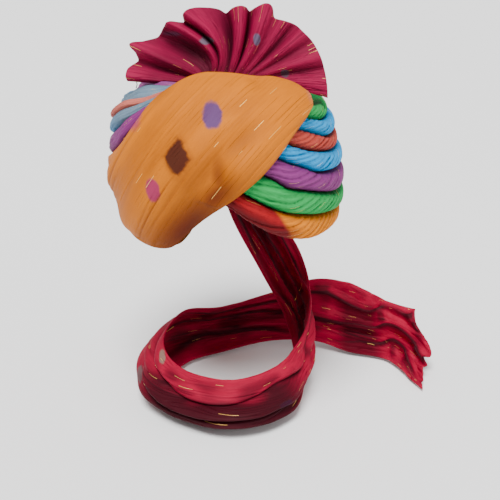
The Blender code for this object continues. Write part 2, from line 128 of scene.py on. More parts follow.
def readTable(rows, at):
    # a smooth curve through the columns of a table
    at = min(max(at, rows[0][0]), rows[-1][0])
    i = max(k for k in range(len(rows) - 1) if rows[k][0] <= at)
    span = rows[i + 1][0] - rows[i][0]
    t = (at - rows[i][0]) / span
    before = rows[max(i - 1, 0)]
    after = rows[min(i + 2, len(rows) - 1)]
    values = []
    for c in range(1, len(rows[0])):
        a = rows[i][c]
        b = rows[i + 1][c]
        slopeA = (b - before[c]) / (rows[i + 1][0] - before[0]) * span
        slopeB = (after[c] - a) / (after[0] - rows[i][0]) * span
        value = a * (2 * t**3 - 3 * t**2 + 1) + slopeA * (t**3 - 2 * t**2 + t)
        values.append(value + b * (3 * t**2 - 2 * t**3) + slopeB * (t**3 - t**2))
    return values


def smooth(low, high, value):
    t = min(max((value - low) / (high - low), 0.0), 1.0)
    return t * t * (3 - 2 * t)


def headPoint(angle, height, offset):
    # a point out from the rounded form along its normal
    a = math.radians(angle)
    rise = (height - headForm["brow"]) / (headForm["crown"] - headForm["brow"])
    rise = min(max(rise, 0.0), 0.9999)  # at 1 the surface lies level and has no slope
    full = headForm["fullness"]
    left = 1 - rise**full
    reach = left ** (1 / full)
    slope = left ** (1 / full - 1) * rise ** (full - 1) / (headForm["crown"] - headForm["brow"])
    halfWidth = headForm["width"] / 2
    halfDepth = headForm["depth"] / 2
    base = Vector((halfWidth * reach * math.cos(a), halfDepth * reach * math.sin(a), height))
    normal = Vector((halfDepth * math.cos(a), halfWidth * math.sin(a), halfWidth * halfDepth * slope))
    return base + normal.normalized() * offset


def crownHeightAt(x, y, offset):
    # height of the crown's surface above a place on it
    low = headForm["brow"]
    high = headForm["crown"]
    angle = math.degrees(math.atan2(y / headForm["depth"], x / headForm["width"]))
    wanted = math.hypot(x / headForm["width"], y / headForm["depth"])
    for _ in range(30):  # halves the range each time
        middle = (low + high) / 2
        point = headPoint(angle, middle, offset)
        if math.hypot(point.x / headForm["width"], point.y / headForm["depth"]) > wanted:
            low = middle
        else:
            high = middle
    return point.z


@functools.lru_cache(maxsize=None)
def edgesNear(halfDegrees):
    return [share * headForm["crown"] for share in readTable(rollEdges, halfDegrees / 2)]


@functools.lru_cache(maxsize=None)
def bulkNear(halfDegrees):
    return readTable(rollBulk, halfDegrees / 2)


def creaseAt(across, along, seed, sharpness=creases["sharpness"]):
    # thin irregular creases that run along the cloth, 0 between them and 1 in them
    value = noise.noise(Vector((across, along, seed)))
    place = (across * creases["breakAcross"], along * creases["breakAlong"], seed + creases["breakSeed"])
    fade = smooth(*creases["breakRange"], noise.noise(Vector(place)))
    return max(0.0, 1 - abs(value) * sharpness) ** creases["edge"] * fade


def creasePattern(pattern, across, along):
    # a pattern holds how many creases lie across and along, a seed and how sharp they are
    manyAcross, manyAlong, seed, sharpness = pattern
    return creaseAt(across * manyAcross, along * manyAlong, seed, sharpness)


def swellPattern(pattern, across, along):
    # a pattern holds how many swells lie across and along, and a seed
    manyAcross, manyAlong, seed = pattern
    return noise.noise(Vector((across * manyAcross, along * manyAlong, seed)))


def clothGrid(alongSteps, acrossSteps, place):
    # a grid bent by place(along, across), which gives each point, how much painted shade darkens it
    # in folds, creases, hollows and undersides, and its place on the cloth in metres for the UV map
    bm = bmesh.new()
    bmesh.ops.create_grid(bm, x_segments=alongSteps, y_segments=acrossSteps, size=0.5)
    layer = bm.loops.layers.uv.new("cloth")
    paintedShadeLayer = bm.verts.layers.float.new("fold")
    placed = [place(vert.co.x + 0.5, vert.co.y + 0.5) for vert in bm.verts]
    bm.verts.index_update()
    for vert, (point, fold, uv) in zip(bm.verts, placed):
        vert.co = point
        vert[paintedShadeLayer] = fold
    for face in bm.faces:
        for loop in face.loops:
            loop[layer].uv = placed[loop.vert.index][2]
    return bm


def closeTube(bm):
    # joins the long sides of a grid that was bent round, and fills its ends
    bmesh.ops.remove_doubles(bm, verts=bm.verts, dist=layers["merge"])
    ends = [edge for edge in bm.edges if edge.is_boundary]
    bmesh.ops.holes_fill(bm, edges=ends, sides=0)
    bmesh.ops.recalc_face_normals(bm, faces=bm.faces)


def addPiece(name, bm, material, node):
    mesh = bpy.data.meshes.new(name)
    bm.to_mesh(mesh)
    bm.free()
    mesh.shade_smooth()
    mesh.materials.append(material)
    piece = bpy.data.objects.new(name, mesh)
    bpy.context.scene.collection.objects.link(piece)
    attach(piece, "root")
    if node:
        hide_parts(node)
    return piece


def addWall(piece, thickness, offset):
    wall = piece.modifiers.new("wall", "SOLIDIFY")
    wall.thickness = thickness
    wall.offset = offset


# Shader helpers


def addNode(tree, kind, settings=None, inputs=None):
    made = tree.nodes.new(kind)
    for key, value in (settings or {}).items():
        setattr(made, key, value)
    for key, value in (inputs or {}).items():
        socket = made.inputs[key]
        if isinstance(value, bpy.types.NodeSocket):
            tree.links.new(value, socket)
        else:
            socket.default_value = value
    return made


def mathNode(tree, operation, a, b=0.0):
    return addNode(tree, "ShaderNodeMath", {"operation": operation}, {0: a, 1: b}).outputs[0]


def vectorNode(tree, operation, a, b=(0.0, 0.0, 0.0)):
    return addNode(tree, "ShaderNodeVectorMath", {"operation": operation}, {0: a, 1: b}).outputs[0]


def noiseNode(tree, place, size, detail, roughness=0.5):
    inputs = {"Vector": place, "Scale": size, "Detail": detail, "Roughness": roughness}
    return addNode(tree, "ShaderNodeTexNoise", inputs=inputs).outputs[0]


def rangeNode(tree, value, low, high, toLow, toHigh):
    settings = {"interpolation_type": "SMOOTHSTEP"}
    inputs = {"Value": value, "From Min": low, "From Max": high, "To Min": toLow, "To Max": toHigh}
    return addNode(tree, "ShaderNodeMapRange", settings, inputs).outputs[0]


def mixColour(tree, factor, a, b):
    made = addNode(tree, "ShaderNodeMix", {"data_type": "RGBA"})
    for socket, value in ((made.inputs[0], factor), (made.inputs[6], a), (made.inputs[7], b)):
        if isinstance(value, bpy.types.NodeSocket):
            tree.links.new(value, socket)
        else:
            socket.default_value = value if isinstance(value, float) else (*value, 1.0)
    return made.outputs[2]


def mixTones(a, b, share):
    return tuple(x + (y - x) * share for x, y in zip(a, b))


def startGroup(name, inputs, outputs):
    group = bpy.data.node_groups.new(name, "ShaderNodeTree")
    for label, kind in inputs:
        group.interface.new_socket(name=label, in_out="INPUT", socket_type=kind)
    for label, kind in outputs:
        group.interface.new_socket(name=label, in_out="OUTPUT", socket_type=kind)
    return group, group.nodes.new("NodeGroupInput").outputs, group.nodes.new("NodeGroupOutput").inputs


weave = {
    "stretch": (0.16, 1.0, 1.0),
    "crinkleDetail": 3.0,
    "crinkleRoughness": 0.6,
    "patchSize": 34.0,
    "patchDetail": 4.0,
    "lineWidth": 0.030,
    "linePatches": (0.44, 0.60),
    "threadRelief": 0.035,
    "crinkleShade": 0.6,
    "patchShade": 0.4,
    "shadeRange": (0.30, 0.66),
}


def makeWeaveGroup():
    # fine plain weave, soft crinkles and thin lengthwise creases of a light crepe cotton; its Shade is
    # painted shade in the crinkles' hollows mixed with random mottling
    group, given, result = startGroup(
        "crinkledWeave",
        [
            ("UV", "NodeSocketVector"),
            ("Threads", "NodeSocketFloat"),
            ("Crinkle Size", "NodeSocketFloat"),
            ("Crinkle", "NodeSocketFloat"),
            ("Crease Places", "NodeSocketVector"),
            ("Crease Depth", "NodeSocketFloat"),
        ],
        [("Height", "NodeSocketFloat"), ("Shade", "NodeSocketFloat"), ("Crease", "NodeSocketFloat")],
    )
    parts = addNode(group, "ShaderNodeSeparateXYZ", inputs={0: given["UV"]}).outputs
    warp = mathNode(group, "SINE", mathNode(group, "MULTIPLY", parts[0], given["Threads"]))
    weft = mathNode(group, "SINE", mathNode(group, "MULTIPLY", parts[1], given["Threads"]))
    threads = mathNode(group, "MULTIPLY", warp, weft)
    stretched = vectorNode(group, "MULTIPLY", given["UV"], weave["stretch"])
    folds = noiseNode(
        group, stretched, given["Crinkle Size"], weave["crinkleDetail"], weave["crinkleRoughness"]
    )
    patches = noiseNode(group, given["UV"], weave["patchSize"], weave["patchDetail"])
    places = vectorNode(group, "MULTIPLY", given["UV"], given["Crease Places"])
    away = mathNode(group, "ABSOLUTE", mathNode(group, "SUBTRACT", noiseNode(group, places, 1.0, 0.0), 0.5))
    line = rangeNode(group, away, 0.0, weave["lineWidth"], 1.0, 0.0)
    crease = mathNode(group, "MULTIPLY", line, rangeNode(group, patches, *weave["linePatches"], 0.0, 1.0))
    crinkle = mathNode(group, "MULTIPLY", folds, given["Crinkle"])
    height = mathNode(group, "ADD", crinkle, mathNode(group, "MULTIPLY", threads, weave["threadRelief"]))
    sunk = mathNode(group, "MULTIPLY", crease, given["Crease Depth"])
    group.links.new(mathNode(group, "SUBTRACT", height, sunk), result["Height"])
    # painted shade in the crinkles' hollows, mixed with random patches of tone
    crinkleShade = mathNode(group, "MULTIPLY", folds, weave["crinkleShade"])
    patchShade = mathNode(group, "MULTIPLY", patches, weave["patchShade"])
    shade = mathNode(group, "ADD", crinkleShade, patchShade)
    group.links.new(rangeNode(group, shade, *weave["shadeRange"], 0.0, 1.0), result["Shade"])
    group.links.new(crease, result["Crease"])


def makeGlintGroup():
    # short gold threads woven in along the cloth, scattered one to a cell
    group, given, result = startGroup(
        "goldThread",
        [
            ("UV", "NodeSocketVector"),
            ("Cells", "NodeSocketVector"),
            ("Length", "NodeSocketFloat"),
            ("Least Length", "NodeSocketFloat"),
            ("Width", "NodeSocketFloat"),
            ("Amount", "NodeSocketFloat"),
        ],
        [("Mask", "NodeSocketFloat")],
    )
    scaled = vectorNode(group, "MULTIPLY", given["UV"], given["Cells"])
    inputs = {"Vector": scaled, "Scale": 1.0}
    cells = addNode(group, "ShaderNodeTexVoronoi", {"voronoi_dimensions": "2D"}, inputs).outputs
    offset = vectorNode(group, "SUBTRACT", scaled, cells["Position"])
    away = vectorNode(group, "DIVIDE", offset, given["Cells"])
    parts = addNode(group, "ShaderNodeSeparateXYZ", inputs={0: away}).outputs
    chance = addNode(group, "ShaderNodeSeparateColor", inputs={0: cells["Color"]}).outputs
    share = mathNode(group, "ADD", chance[1], given["Least Length"])
    length = mathNode(group, "MULTIPLY", given["Length"], share)
    inLength = mathNode(group, "LESS_THAN", mathNode(group, "ABSOLUTE", parts[0]), length)
    inWidth = mathNode(group, "LESS_THAN", mathNode(group, "ABSOLUTE", parts[1]), given["Width"])
    kept = mathNode(group, "LESS_THAN", chance[0], given["Amount"])
    mask = mathNode(group, "MULTIPLY", mathNode(group, "MULTIPLY", inLength, inWidth), kept)
    group.links.new(mask, result["Mask"])


dyeEdge = {"size": 160.0, "detail": 3.0}


def makeDyeGroup():
    # a mark of tie-dye with a wavering, soft edge, round or with four corners
    group, given, result = startGroup(
        "dyeMark",
        [
            ("Position", "NodeSocketVector"),
            ("Centre", "NodeSocketVector"),
            ("Size", "NodeSocketVector"),
            ("Waver", "NodeSocketFloat"),
            ("Softness", "NodeSocketFloat"),
            ("Corners", "NodeSocketFloat"),
        ],
        [("Mask", "NodeSocketFloat")],
    )
    offset = vectorNode(group, "SUBTRACT", given["Position"], given["Centre"])
    away = vectorNode(group, "DIVIDE", offset, given["Size"])
    waver = noiseNode(group, given["Position"], dyeEdge["size"], dyeEdge["detail"])
    round_ = addNode(group, "ShaderNodeVectorMath", {"operation": "LENGTH"}, {0: away}).outputs["Value"]
    inputs = {0: vectorNode(group, "ABSOLUTE", away), 1: (1.0, 1.0, 1.0)}
    cornered = addNode(group, "ShaderNodeVectorMath", {"operation": "DOT_PRODUCT"}, inputs).outputs["Value"]
    extra = mathNode(group, "MULTIPLY", mathNode(group, "SUBTRACT", cornered, round_), given["Corners"])
    distance = mathNode(group, "ADD", round_, extra)
    shift = mathNode(group, "MULTIPLY", mathNode(group, "SUBTRACT", waver, 0.5), given["Waver"])
    edge = mathNode(group, "ADD", distance, shift)
    inner = mathNode(group, "SUBTRACT", 1.0, given["Softness"])
    group.links.new(rangeNode(group, edge, inner, 1.0, 1.0, 0.0), result["Mask"])


def addGroup(tree, name, inputs):
    made = tree.nodes.new("ShaderNodeGroup")
    made.node_tree = bpy.data.node_groups[name]
    for key, value in inputs.items():
        if isinstance(value, bpy.types.NodeSocket):
            tree.links.new(value, made.inputs[key])
        else:
            made.inputs[key].default_value = value
    return made.outputs


clothLook = {
    "threads": 7200.0,
    "crinkleSize": 620.0,
    "crinkle": 0.35,
    "creasePlaces": (16.0, 190.0, 1.0),
    "creaseDepth": 0.9,
    "creaseLineShade": 0.4,
    "foldTint": 0.85,
    "mottleAndCrinkleShade": 0.7,
    "bump": 0.0009,
    "bumpStrength": 0.8,
    "roughness": 0.6,
    "shine": 0.1,
    "sheen": 0.02,
    "sheenRoughness": 0.4,
    "gold": (0.85, 0.52, 0.14),
    "goldMetal": 0.7,
    "goldRoughness": 0.45,
    "glintCells": (30.0, 130.0, 1.0),
    "glintLength": 0.0056,
    "glintLeast": 0.3,
    "glintWidth": 0.00016,
    "glintAmount": 0.3,
    "spotStrength": 0.9,
    "spotWaver": 0.5,
    "spotSoftness": 0.3,
    "changeSlant": 0.25,
}


def clothMaterial(name, dye, spots=(), **changes):
    # changes holds what this cloth has different from clothLook, and its second dye if it has one
    look = {**clothLook, **changes}
    # deep is the darker copy of the dye that the painted shade mixes toward
    colour, deep = dye
    material = bpy.data.materials.new(name)
    material.use_nodes = True
    tree = material.node_tree
    shader = tree.nodes["Principled BSDF"]
    uv = addNode(tree, "ShaderNodeUVMap", {"uv_map": "cloth"}).outputs["UV"]
    position = addNode(tree, "ShaderNodeTexCoord").outputs["Object"]
    cloth = addGroup(
        tree,
        "crinkledWeave",
        {
            "UV": uv,
            "Threads": look["threads"],
            "Crinkle Size": look["crinkleSize"],
            "Crinkle": look["crinkle"],
            "Crease Places": look["creasePlaces"],
            "Crease Depth": look["creaseDepth"],
        },
    )
    glint = addGroup(
        tree,
        "goldThread",
        {
            "UV": uv,
            "Cells": look["glintCells"],
            "Length": look["glintLength"],
            "Least Length": look["glintLeast"],
            "Width": look["glintWidth"],
            "Amount": look["glintAmount"],
        },
    )["Mask"]
    # painted shade: the amount laid on each point darkens the colour toward the dye's darker copy
    fold = addNode(tree, "ShaderNodeAttribute", {"attribute_name": "fold"}).outputs["Fac"]
    # painted shade in the crinkles' hollows and random mottling, both from the cloth's Shade
    dyed = mixColour(tree, cloth["Shade"], mixTones(deep, colour, look["mottleAndCrinkleShade"]), colour)
    if "second" in look:
        # a second dye from one place along the cloth
        along = addNode(tree, "ShaderNodeSeparateXYZ", inputs={0: uv}).outputs
        place = mathNode(tree, "ADD", along[0], mathNode(tree, "MULTIPLY", along[1], look["changeSlant"]))
        soft = look["changeSoft"]
        turned = rangeNode(tree, place, look["changeAt"] - soft, look["changeAt"] + soft, 0.0, 1.0)
        second, secondShadeColour = look["second"]
        grained = mixColour(tree, cloth["Shade"], mixTones(secondShadeColour, second, look["mottleAndCrinkleShade"]), second)
        dyed = mixColour(tree, turned, dyed, grained)
        deep = mixColour(tree, turned, deep, secondShadeColour)
    for spot in spots:
        mask = addGroup(
            tree,
            "dyeMark",
            {
                "Position": position,
                "Centre": spot["centre"],
                "Size": spot["size"],
                "Waver": look["spotWaver"],
                "Softness": spot.get("soft", look["spotSoftness"]),
                "Corners": spot.get("corners", 0.0),
            },
        )["Mask"]
        strength = mathNode(tree, "MULTIPLY", mask, spot.get("strength", look["spotStrength"]))
        dyed = mixColour(tree, strength, dyed, spot["colour"])
    # painted shade: the crease lines and each point's painted shade mix the colour toward its darker copy
    creaseLineShade = mathNode(tree, "MULTIPLY", cloth["Crease"], look["creaseLineShade"])
    tint = mathNode(tree, "MAXIMUM", mathNode(tree, "MULTIPLY", fold, look["foldTint"]), creaseLineShade)
    dyed = mixColour(tree, tint, dyed, deep)
    tree.links.new(mixColour(tree, glint, dyed, look["gold"]), shader.inputs["Base Color"])
    tree.links.new(mathNode(tree, "MULTIPLY", glint, look["goldMetal"]), shader.inputs["Metallic"])
    roughness = rangeNode(tree, glint, 0.0, 1.0, look["roughness"], look["goldRoughness"])
    tree.links.new(roughness, shader.inputs["Roughness"])
    inputs = {"Height": cloth["Height"], "Strength": look["bumpStrength"], "Distance": look["bump"]}
    bump = addNode(tree, "ShaderNodeBump", inputs=inputs)
    tree.links.new(bump.outputs["Normal"], shader.inputs["Normal"])
    shader.inputs["Sheen Weight"].default_value = look["sheen"]
    shader.inputs["Sheen Roughness"].default_value = look["sheenRoughness"]
    shader.inputs["Sheen Tint"].default_value = (*colour, 1.0)
    shader.inputs["Specular IOR Level"].default_value = look["shine"]
    return material


makeWeaveGroup()
makeGlintGroup()
makeDyeGroup()
print("cloth shader groups made")

# Dyes: the lit colour, then a darker copy of it that is mixed in as painted shade in folds, creases and
# hollows
red = ((0.34, 0.006, 0.010), (0.055, 0.003, 0.005))
orange = ((0.52, 0.142, 0.0005), (0.062, 0.006, 0.003))
green = ((0.014, 0.34, 0.075), (0.003, 0.085, 0.014))
purple = ((0.22, 0.036, 0.17), (0.060, 0.005, 0.055))
blue = ((0.004, 0.31, 0.66), (0.001, 0.070, 0.20))
amber = ((0.70, 0.21, 0.0005), (0.20, 0.034, 0.005))
teal = ((0.16, 0.23, 0.30), (0.038, 0.080, 0.115))
lilac = ((0.25, 0.060, 0.20), (0.090, 0.015, 0.075))
coral = ((0.44, 0.055, 0.038), (0.16, 0.013, 0.010))
rose = ((0.60, 0.16, 0.12), (0.20, 0.035, 0.025))
magenta = ((0.28, 0.004, 0.046), (0.040, 0.002, 0.009))
crimson = ((0.34, 0.002, 0.030), (0.024, 0.001, 0.004))

# The twisted rolls

rolls = {
    "count": 7,
    "thickness": 0.0182,
    "start": -100,
    "end": 250,
    "alongSteps": 400,
    "outerSteps": 34,
    "innerSteps": 8,
    "length": 0.60,
    "girth": 0.060,
    "squareness": 0.8,
    "steepness": 1.15,
    # the strands that each roll is twisted from, and their creases
    "strands": 4.0,
    "strandDepth": 0.0026,
    "strandEdge": 0.6,
    "stagger": 0.31,
    "waver": 0.4,
    "waverLength": 23,
    "waverSeed": 4.7,
    "usualStrand": 0.7,
    "strandSpread": 1.1,
    "strandSpacing": 0.9,
    "strandLength": 50,
    "leastStrand": 0.15,
    "flattening": 0.5,
    "flatRange": (0.60, 0.85),
    "fadeEnd": 0.35,
    "creaseDepth": 0.0008,
    "creaseSpacing": 2.1,
    "creaseLength": 34,
    "creaseSeed": 2.9,
    "creaseSharpness": 6.0,
    # painted shade: how dark a roll gets under the one above, along its lower edge, in its folds and inside
    "aboveShade": 0.75,
    "aboveRange": (0.62, 1.0),
    "belowShade": 0.45,
    "belowRange": (0.30, 0.0),
    "grooveShade": 0.9,
    "creaseShade": 0.4,
    "innerShade": 0.5,
    # the shaded lower half of the lowest roll beside the sash
    "browShade": 0.95,
    "browAcross": (0.75, 0.35),
    "browAngles": (-48, -60),
    # how full the left and the right stretches of the rolls stay, and where that comes in and goes
    "leftSettling": (1.0, 1.0, 1.0, 1.0, 1.0, 0.82, 0.64),
    "rightSettling": (0.80, 0.98, 1.0, 0.96, 0.82, 0.88, 0.84),
    "leftStretch": (150, 190),
    "rightStretch": ((-70, -35), (95, 35)),
}

# How far the strands have turned, in strands
twistTurns = (
    # angle, turns
    (-100, -0.8),
    (-80, -0.2),
    (-70, 0.3),
    (-60, 1.2),
    (-50, 2.7),
    (-40, 4.7),
    (-30, 6.9),
    (-15, 9.8),
    (0, 12.0),
    (90, 21.0),
    (150, 26.5),
    (180, 28.0),
    (205, 28.5),
    (250, 29.0),
)

rollDyes = (
    # piece, finish, dye, second dye if any, where along the roll it starts, how softly
    ("redOrangeRoll", "red_cloth", red, amber, 0.067, 0.003),
    ("greenRoll", "green_cloth", green, None, 0, 0),
    ("purpleRoll", "purple_cloth", purple, None, 0, 0),
    ("blueRoll", "blue_cloth", blue, teal, 0.42, 0.03),
    ("coralRoll", "coral_cloth", coral, rose, 0.42, 0.03),
    ("upperBlueRoll", "blue_cloth", blue, teal, 0.40, 0.03),
    ("upperGreenRoll", "green_cloth", green, lilac, 0.34, 0.03),
)


@functools.lru_cache(maxsize=None)
def turnsNear(halfDegrees):
    return readTable(twistTurns, halfDegrees / 2)[0]


def strandRelief(roll, angle, across, flatness):
    # where a place lies among the strands, how deep in the groove between two, and how much creased
    waver = noise.noise(Vector((angle / rolls["waverLength"], across, roll * rolls["waverSeed"])))
    strand = rolls["strands"] * across - turnsNear(round(2 * angle))
    strand += rolls["stagger"] * roll + rolls["waver"] * waver
    lobe = abs(math.sin(math.pi * strand)) ** rolls["strandEdge"]
    spread = noise.noise(Vector((strand * rolls["strandSpacing"], angle / rolls["strandLength"], roll)))
    size = max(rolls["usualStrand"] + rolls["strandSpread"] * spread, rolls["leastStrand"])
    flat = smooth(*rolls["flatRange"], flatness)
    groove = (1 - lobe) * size * (1 - rolls["flattening"] * flat)
    lengthwise = angle / rolls["creaseLength"]
    seed = roll * rolls["creaseSeed"]
    crease = creaseAt(strand * rolls["creaseSpacing"], lengthwise, seed, rolls["creaseSharpness"])
    return strand, groove, crease


def rollPlace(roll, along, round_):
    # round_ goes up the outer side of the roll and back down its flat inner side
    part = rolls["outerSteps"] / (rolls["outerSteps"] + rolls["innerSteps"])
    angle = rolls["start"] + (rolls["end"] - rolls["start"]) * along
    edges = edgesNear(round(2 * angle))
    bulk = bulkNear(round(2 * angle))
    low = edges[roll] + layers["splitGap"] / 2
    high = edges[roll + 1] - layers["splitGap"] / 2
    seat = layers["wrapWall"] + layers["seatGap"]
    if round_ > part:
        share = (round_ - part) / (1 - part)
        uv = (along * rolls["length"], round_ * rolls["girth"])
        # painted shade over the whole inner side
        return headPoint(angle, high + (low - high) * share, seat), rolls["innerShade"], uv
    turn = math.pi * round_ / part
    cosine = math.cos(turn)
    across = 0.5 - 0.5 * math.copysign(abs(cosine) ** rolls["squareness"], cosine)
    rise = max(math.sin(turn), 0.0) ** (rolls["steepness"] * (1 - bulk[-1]))
    fade = smooth(0.0, rolls["fadeEnd"], math.sin(turn))
    strand, groove, crease = strandRelief(roll, angle, across, bulk[-1])
    settled = 1 - (1 - rolls["leftSettling"][roll]) * smooth(*rolls["leftStretch"], angle)
    entering, leaving = rolls["rightStretch"]
    settled -= (1 - rolls["rightSettling"][roll]) * smooth(*entering, angle) * smooth(*leaving, angle)
    relief = (rolls["strandDepth"] * groove + rolls["creaseDepth"] * crease) * fade
    out = seat + settled * bulk[roll] * rolls["thickness"] * rise - relief
    # painted shade under the roll above, along the lower edge, on the lowest roll's lower half and in
    # grooves and creases
    shade = rolls["aboveShade"] * smooth(*rolls["aboveRange"], across)
    shade += rolls["belowShade"] * smooth(*rolls["belowRange"], across)
    if roll == 0:
        browPart = smooth(*rolls["browAcross"], across) * smooth(*rolls["browAngles"], angle)
        shade = max(shade, rolls["browShade"] * browPart)
    shade = max(shade, (rolls["grooveShade"] * groove + rolls["creaseShade"] * crease) * fade)
    uv = (along * rolls["length"], strand / rolls["strands"] * rolls["girth"] * part)
    return headPoint(angle, low + (high - low) * across, out), min(1.0, shade), uv


def makeRolls():
    for roll, (name, slot, dye, second, changeAt, changeSoft) in enumerate(rollDyes):
        bm = clothGrid(
            rolls["alongSteps"],
            rolls["outerSteps"] + rolls["innerSteps"],
            lambda along, across: rollPlace(roll, along, across),
        )
        closeTube(bm)
        changes = {"second": second, "changeAt": changeAt, "changeSoft": changeSoft} if second else {}
        piece = addPiece(name, bm, clothMaterial(name + "Cloth", dye, **changes), f"roll_{roll + 1}")
    print("rolls wound")


# The inner wrap

innerWrap = {
    "wall": layers["wrapWall"],
    "shownWall": 0.8,
    "around": 144,
    "rings": 72,
    "ringSpread": 0.85,
    "creaseDepth": 0.0006,
    "creaseRows": 9,
    "creaseTurn": 60,
    "creaseLength": 40,
    "creaseSeed": 3.1,
    "bareTop": 0.1,
    "polePart": 0.999,
}


def rimHeight(angle):
    # the wrap ends a little above the lower edge of the lowest roll, which hides its rim
    turn = angle if angle >= rolls["start"] else angle + 360
    if turn <= rolls["end"]:
        return edgesNear(round(2 * turn))[0] + layers["rimTuck"]
    share = (turn - rolls["end"]) / (rolls["start"] + 360 - rolls["end"])
    ends = [edgesNear(2 * rolls["end"])[0], edgesNear(2 * rolls["start"])[0]]
    return (1 - share) * ends[0] + share * ends[1] + layers["rimTuck"]


def makeInnerWrap():
    wrap = innerWrap
    bm = bmesh.new()
    bmesh.ops.create_uvsphere(bm, u_segments=wrap["around"], v_segments=wrap["rings"], radius=1)
    lowerHalf = [vert for vert in bm.verts if vert.co.z < -0.001]  # all below the middle ring
    bmesh.ops.delete(bm, geom=lowerHalf, context="VERTS")
    layer = bm.loops.layers.uv.new("cloth")
    for face in bm.faces:
        middle = face.calc_center_median()
        for loop in face.loops:
            turn = math.atan2(loop.vert.co.y, loop.vert.co.x)
            centre = math.atan2(middle.y, middle.x)
            if loop.vert.co.z > wrap["polePart"]:
                turn = centre
            turn += round((centre - turn) / math.tau) * math.tau
            loop[layer].uv = (turn * headForm["width"] / 2, loop.vert.co.z * headForm["crown"])
    for vert in bm.verts:
        level = min(max(vert.co.z, 0.0), 1.0)
        angle = math.degrees(math.atan2(vert.co.y, vert.co.x))
        rim = rimHeight(angle)
        height = rim + (headForm["crown"] - rim) * level ** wrap["ringSpread"]
        row = level * wrap["creaseRows"] + angle / wrap["creaseTurn"]
        crease = creaseAt(row, angle / wrap["creaseLength"], wrap["creaseSeed"])
        crease *= smooth(0.0, wrap["bareTop"], 1 - level)
        vert.co = headPoint(angle, height, wrap["wall"] - wrap["creaseDepth"] * crease)
        if level > wrap["polePart"]:
            vert.co = Vector((0, 0, headForm["crown"] + wrap["wall"]))
    material = clothMaterial("wrapCotton", coral)
    piece = addPiece("innerWrap", bm, material, "under_wrap")
    addWall(piece, wrap["wall"] * wrap["shownWall"], -1)
    print("inner wrap stretched")


# The sash

sash = {
    "thickness": 0.009,
    "wall": 0.003,
    "alongSteps": 400,
    "faceSteps": 150,
    "backSteps": 16,
    "slant": 50,
    "bend": 0.4,
    "bellyEdge": 2.5,
    "hem": 0.05,
    "hemWall": 0.3,
    "blend": 0.003,
    "frontRange": (0.0, -0.03),
    "leastFolds": 0.45,
    "foldStations": (5, 9),
    "foldTop": (1.0, 0.80),
    "swellDepth": 0.0030,
    "swells": (75, 7, 5.5),
    "creaseDepth": 0.0013,
    "creases": (130, 5, 7.3, 6.0),
    "fineCreases": (230, 9, 2.2, 5.0),
    "fineShare": 0.7,
    # painted shade: how dark the sash gets inside, in its creases and valleys and along its lower hem
    "innerShade": 0.4,
    "creaseShade": 0.50,
    "valleyShade": 0.24,
    "valleyRange": (0.1, -0.5),
    "hemShade": 0.4,
    "hemRange": (0.04, 0.0),
    "look": {
        "mottleAndCrinkleShade": 0.88,
        "foldTint": 1.0,
        "creasePlaces": (5.0, 170.0, 1.0),
        "creaseDepth": 0.6,
        "creaseLineShade": 0.08,
        "glintAmount": 0.3,
        "glintCells": (33.0, 109.0, 1.0),
        "glintWidth": 0.00013,
    },
}

# Swells and dents of the sash, seen from the front and a little above, with patches of painted shade over
# them
sashForms = (
    # sideways, up, slant, reach along, reach across, depth, tint of painted shade
    (-0.0055, 0.0190, 97, 0.024, 0.0085, 0.0050, 0.75),
    (0.0110, 0.0480, 43, 0.026, 0.0090, 0.0034, 0.40),
    (-0.0200, 0.0210, 52, 0.036, 0.0160, 0.0000, 0.50),
    (-0.0320, -0.0170, 40, 0.056, 0.0210, 0.0000, 0.95),
    (-0.0080, 0.0060, 40, 0.026, 0.0130, 0.0000, 0.90),
    (-0.0320, 0.0270, 50, 0.030, 0.0120, -0.0030, 0.00),
    (0.0230, 0.1030, 112, 0.014, 0.0080, 0.0036, 0.15),
    (-0.0496, 0.0925, 48, 0.014, 0.0050, 0.0026, 0.35),
    (0.0120, 0.0250, 52, 0.028, 0.0110, -0.0060, 0.00),
    (0.0110, 0.0760, 20, 0.022, 0.0080, 0.0008, 0.22),
    (-0.0560, 0.0350, 55, 0.050, 0.0060, 0.0012, 0.30),
    (-0.0300, 0.0600, 48, 0.040, 0.0090, 0.0012, 0.25),
    (-0.0760, 0.0200, 58, 0.040, 0.0050, 0.0010, 0.30),
    (-0.0420, 0.0080, 54, 0.032, 0.0045, 0.0010, 0.35),
)


def bedOffset(angle, height):
    # how far out the rolls reach under a place on the sash
    turn = angle if angle >= rolls["start"] else angle + 360
    ends = ((turn, 1.0),)
    if turn > rolls["end"]:
        share = smooth(rolls["end"], rolls["start"] + 360, turn)
        ends = ((rolls["end"], 1 - share), (rolls["start"], share))
    reach = 0.0
    margin = rolls["thickness"] / 2
    for turn, weight in ends:
        edges = edgesNear(round(2 * turn))
        bulk = bulkNear(round(2 * turn))
        for roll in range(rolls["count"]):
            low = edges[roll]
            high = edges[roll + 1]
            inside = smooth(low - margin, low, height) * smooth(high + margin, high, height)
            reach = max(reach, (layers["seatGap"] + bulk[roll] * rolls["thickness"]) * inside * weight)
    return layers["wrapWall"] + reach


def frontPlane(point):
    # sideways and upward place of a point as seen from the front and a little above
    tilt = math.radians(view["elevation"])
    return point.x, point.z * math.cos(tilt) + point.y * math.sin(tilt)


def creasePlane(point):
    # along and across the creases, which run up to the right and bend a little
    x, up = frontPlane(point)
    slant = math.radians(sash["slant"])
    along = x * math.cos(slant) + up * math.sin(slant)
    across = x * math.sin(slant) - up * math.cos(slant)
    return along, across - sash["bend"] * along * along


